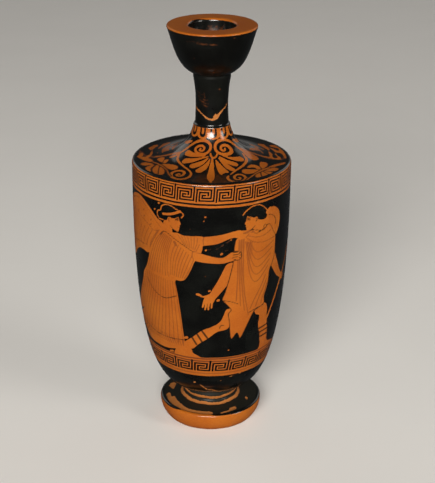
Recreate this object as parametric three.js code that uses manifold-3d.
// Attic lekythos, a slim jar for oil: a disc foot, a short stem, a tall body that tapers to the stem,
// a shoulder that is nearly flat, a narrow neck, a bell mouth with a flat rim, and one strap handle.
// The jar is hollow and open through its neck. Millimetres, +Z up, the axis of the jar on Z, its
// foot on the plane Z = 0, its painted front towards -Y and its handle towards +Y.

import * as THREE from 'three';
import { mergeVertices } from 'three/addons/utils/BufferGeometryUtils.js';
import Module from 'manifold-3d';

// Driving dimensions. A pair is a point of the profile: its radius, then its height.
const HEIGHT = 258;
const BODY_RADIUS = 48.9;
const WALL = 4.5;
const NECK_BORE_RADIUS = 5.8;
const TURN_STEPS = 48;

// Foot: a shallow recess, a flat resting ring, a swelling side and a rounded upper edge
const FOOT_RECESS_DEPTH = 2.6;
const FOOT_RECESS_EDGE = [20.5, 1.4];
const FOOT_RING_INNER = [22, 0];
const FOOT_RING_OUTER = [28.3, 0];
const FOOT_SIDE_LOWER_PULL = [30.6, 2.4];
const FOOT_SIDE_UPPER_PULL = [32.6, 6];
const FOOT_EDGE_BOTTOM = [32.7, 10.6];
const FOOT_EDGE_CORNER = [32.7, 12.4];
const FOOT_EDGE_TOP = [30.9, 12.4];
const FOOT_SIDE_STEPS = 4;
const FOOT_EDGE_STEPS = 3;

// Stem: a waist between the top of the foot and a low ridge under the body
const STEM_BASE = [18.6, 13];
const STEM_WAIST = [16.9, 15.4];
const STEM_RIDGE = [17.5, 17.8];

// Body: one curve from the stem to the edge of the shoulder
const BODY_START = [17.4, 22.9];
const BODY_LOWER_PULL = [43.75, 23.7];
const BODY_UPPER_PULL = [BODY_RADIUS, 90];
const BODY_END = [BODY_RADIUS, 173.6];
const BODY_STEPS = 14;

// Shoulder: a rounded edge, then one curve that lies nearly flat and sweeps up to the neck
const SHOULDER_CORNER = [BODY_RADIUS, 175.2];
const SHOULDER_EDGE = [47.4, 175.2];
const SHOULDER_FLAT_PULL = [46.15, 175.55];
const SHOULDER_SWEEP_PULL = [16.35, 173.2];
const SHOULDER_TOP = [11.35, 196];
const SHOULDER_EDGE_STEPS = 2;
const SHOULDER_STEPS = 9;

// Neck: a small step above the shoulder, a slightly waisted shaft and a thin ledge below the mouth
const NECK_COLLAR = [11.2, 197.3];
const NECK_BASE = [10.2, 198.4];
const NECK_LOWER_PULL = [9.85, 209];
const NECK_UPPER_PULL = [9.4, 215.6];
const NECK_TOP = [11.3, 226];
const NECK_LEDGE = [11.5, 227];
const NECK_STEPS = 5;

// Mouth: a bell that flares to a flat rim, and a bowl inside it that narrows to the bore
const MOUTH_BASE = [11.2, 229];
const MOUTH_LOWER_PULL = [21.9, 232.8];
const MOUTH_UPPER_PULL = [23.7, 248];
const RIM_OUTER = [27.2, HEIGHT - 0.9];
const RIM_TOP_OUTER = [26.3, HEIGHT];
const RIM_TOP_INNER = [15.6, HEIGHT];
const BOWL_LIP = [14.2, HEIGHT - 1.6];
const BOWL_UPPER_PULL = [13.6, 243];
const BOWL_LOWER_PULL = [6.2, 239];
const BOWL_END = [NECK_BORE_RADIUS, 227];
const MOUTH_STEPS = 8;
const BOWL_STEPS = 6;

// Hollow: the outer curves set in by the wall, as far as the corner between side and shoulder
const HOLLOW_SIDE_TOP = 166;
const HOLLOW_CORNER = [44.4, 171];
const HOLLOW_SHOULDER_REACH = 40;
const HOLLOW_SIDE_STEPS = 11;
const HOLLOW_CORNER_STEPS = 3;
const HOLLOW_SHOULDER_STEPS = 9;

// Handle: an oval strap carried along a path in the plane X = 0, each point its Y, then its Z
const HANDLE_WIDTH = 14;
const HANDLE_THICKNESS = 6.4;
const HANDLE_PATH = [
  [6.6, 214.5],
  [13.5, 218.5],
  [22.5, 218.2],
  [28.3, 211],
  [29.8, 199],
  [29.4, 187],
  [28.6, 174.9],
];
const HANDLE_STEPS = 20;
const HANDLE_SECTION_STEPS = 7;

const MERGE_DISTANCE = 1e-4;
const GLAZE_COLOUR = 0x1d1a16;
const GLAZE_ROUGHNESS = 0.3;
const GLAZE_METALNESS = 0;

const wasm = await Module();
wasm.setup();

// The profile point of a pair
const point = ([radius, height]) => new THREE.Vector2(radius, height);

// The cubic curve through a start and an end pair, drawn towards two pull pairs
const cubic = (...pairs) => new THREE.CubicBezierCurve(...pairs.map(point));

// The points of a round corner from a start pair to an end pair
function cornerPoints(start, corner, end, steps) {
  return new THREE.QuadraticBezierCurve(point(start), point(corner), point(end)).getPoints(steps);
}

// The points of a curve, each moved square to it by the wall thickness, to the left of its direction
function insetPoints(curve, steps) {
  return Array.from({ length: steps + 1 }, (_, step) => {
    const along = step / steps;
    const tangent = curve.getTangent(along);
    const inward = new THREE.Vector2(-tangent.y, tangent.x);
    return curve.getPoint(along).addScaledVector(inward, WALL);
  });
}

const bodyCurve = cubic(BODY_START, BODY_LOWER_PULL, BODY_UPPER_PULL, BODY_END);
const shoulderCurve = cubic(SHOULDER_EDGE, SHOULDER_FLAT_PULL, SHOULDER_SWEEP_PULL, SHOULDER_TOP);

// The foot, from the middle of its underside round to its top
function footProfile() {
  const side = cubic(FOOT_RING_OUTER, FOOT_SIDE_LOWER_PULL, FOOT_SIDE_UPPER_PULL, FOOT_EDGE_BOTTOM);
  return [
    point([0, FOOT_RECESS_DEPTH]),
    point(FOOT_RECESS_EDGE),
    point(FOOT_RING_INNER),
    ...side.getPoints(FOOT_SIDE_STEPS),
    ...cornerPoints(FOOT_EDGE_BOTTOM, FOOT_EDGE_CORNER, FOOT_EDGE_TOP, FOOT_EDGE_STEPS).slice(1),
  ];
}

// The stem, the outside of the body and the shoulder up to the neck
function bodyProfile() {
  return [
    ...[STEM_BASE, STEM_WAIST, STEM_RIDGE].map(point),
    ...bodyCurve.getPoints(BODY_STEPS),
    ...cornerPoints(BODY_END, SHOULDER_CORNER, SHOULDER_EDGE, SHOULDER_EDGE_STEPS).slice(1),
    ...shoulderCurve.getPoints(SHOULDER_STEPS).slice(1),
  ];
}

// The neck and the mouth, over the rim and down the bowl to the bore
function neckAndMouthProfile() {
  const neck = cubic(NECK_BASE, NECK_LOWER_PULL, NECK_UPPER_PULL, NECK_TOP);
  const bell = cubic(MOUTH_BASE, MOUTH_LOWER_PULL, MOUTH_UPPER_PULL, RIM_OUTER);
  const bowl = cubic(BOWL_LIP, BOWL_UPPER_PULL, BOWL_LOWER_PULL, BOWL_END);
  return [
    point(NECK_COLLAR),
    ...neck.getPoints(NECK_STEPS),
    point(NECK_LEDGE),
    ...bell.getPoints(MOUTH_STEPS),
    point(RIM_TOP_OUTER),
    point(RIM_TOP_INNER),
    ...bowl.getPoints(BOWL_STEPS),
  ];
}

// The hollow, from the lower end of the bore out under the shoulder and down to the floor's middle
function hollowProfile() {
  const ceiling = insetPoints(shoulderCurve, HOLLOW_SHOULDER_STEPS)
    .filter(({ x }) => x > NECK_BORE_RADIUS && x < HOLLOW_SHOULDER_REACH)
    .reverse();
  const side = insetPoints(bodyCurve, HOLLOW_SIDE_STEPS)
    .filter(({ y }) => y < HOLLOW_SIDE_TOP)
    .reverse();
  const corner = cornerPoints(
    ceiling.at(-1).toArray(),
    HOLLOW_CORNER,
    side[0].toArray(),
    HOLLOW_CORNER_STEPS,
  );
  return [
    point([NECK_BORE_RADIUS, ceiling[0].y]),
    ...ceiling,
    ...corner.slice(1, -1),
    ...side,
    point([0, side.at(-1).y]),
  ];
}

// The turned jar: the closed profile swept about the axis, then stood up along Z
function turnedJar() {
  const profile = [...footProfile(), ...bodyProfile(), ...neckAndMouthProfile(), ...hollowProfile()];
  return new THREE.LatheGeometry(profile, TURN_STEPS).rotateX(Math.PI / 2);
}

// The strap handle: an oval section carried along its path, its ends sunk in the neck and shoulder
function strapHandle() {
  const section = new THREE.Shape();
  section.absellipse(0, 0, HANDLE_WIDTH / 2, HANDLE_THICKNESS / 2, 0, 2 * Math.PI);
  const path = new THREE.CatmullRomCurve3(HANDLE_PATH.map(([y, z]) => new THREE.Vector3(0, y, z)));
  return new THREE.ExtrudeGeometry(section, {
    extrudePath: path,
    steps: HANDLE_STEPS,
    curveSegments: HANDLE_SECTION_STEPS,
  });
}

// A closed solid from a geometry, by its merged corner points alone
function solidOf(geometry) {
  const bare = geometry.clone();
  bare.deleteAttribute('normal');
  bare.deleteAttribute('uv');
  const merged = mergeVertices(bare, MERGE_DISTANCE);
  const mesh = new wasm.Mesh({
    numProp: 3,
    vertProperties: new Float32Array(merged.attributes.position.array),
    triVerts: new Uint32Array(merged.index.array),
  });
  return new wasm.Manifold(mesh);
}

// A geometry from a closed solid
function geometryOf(solid) {
  const mesh = solid.getMesh();
  const geometry = new THREE.BufferGeometry();
  geometry.setAttribute('position', new THREE.BufferAttribute(mesh.vertProperties, mesh.numProp));
  geometry.setIndex(new THREE.BufferAttribute(mesh.triVerts, 1));
  geometry.computeVertexNormals();
  return geometry;
}

const glaze = new THREE.MeshStandardMaterial({
  color: GLAZE_COLOUR,
  roughness: GLAZE_ROUGHNESS,
  metalness: GLAZE_METALNESS,
});

const jar = new THREE.Mesh(geometryOf(solidOf(turnedJar()).add(solidOf(strapHandle()))), glaze);
jar.name = 'lekythos';

const lekythos = new THREE.Group();
lekythos.add(jar);

export default lekythos;
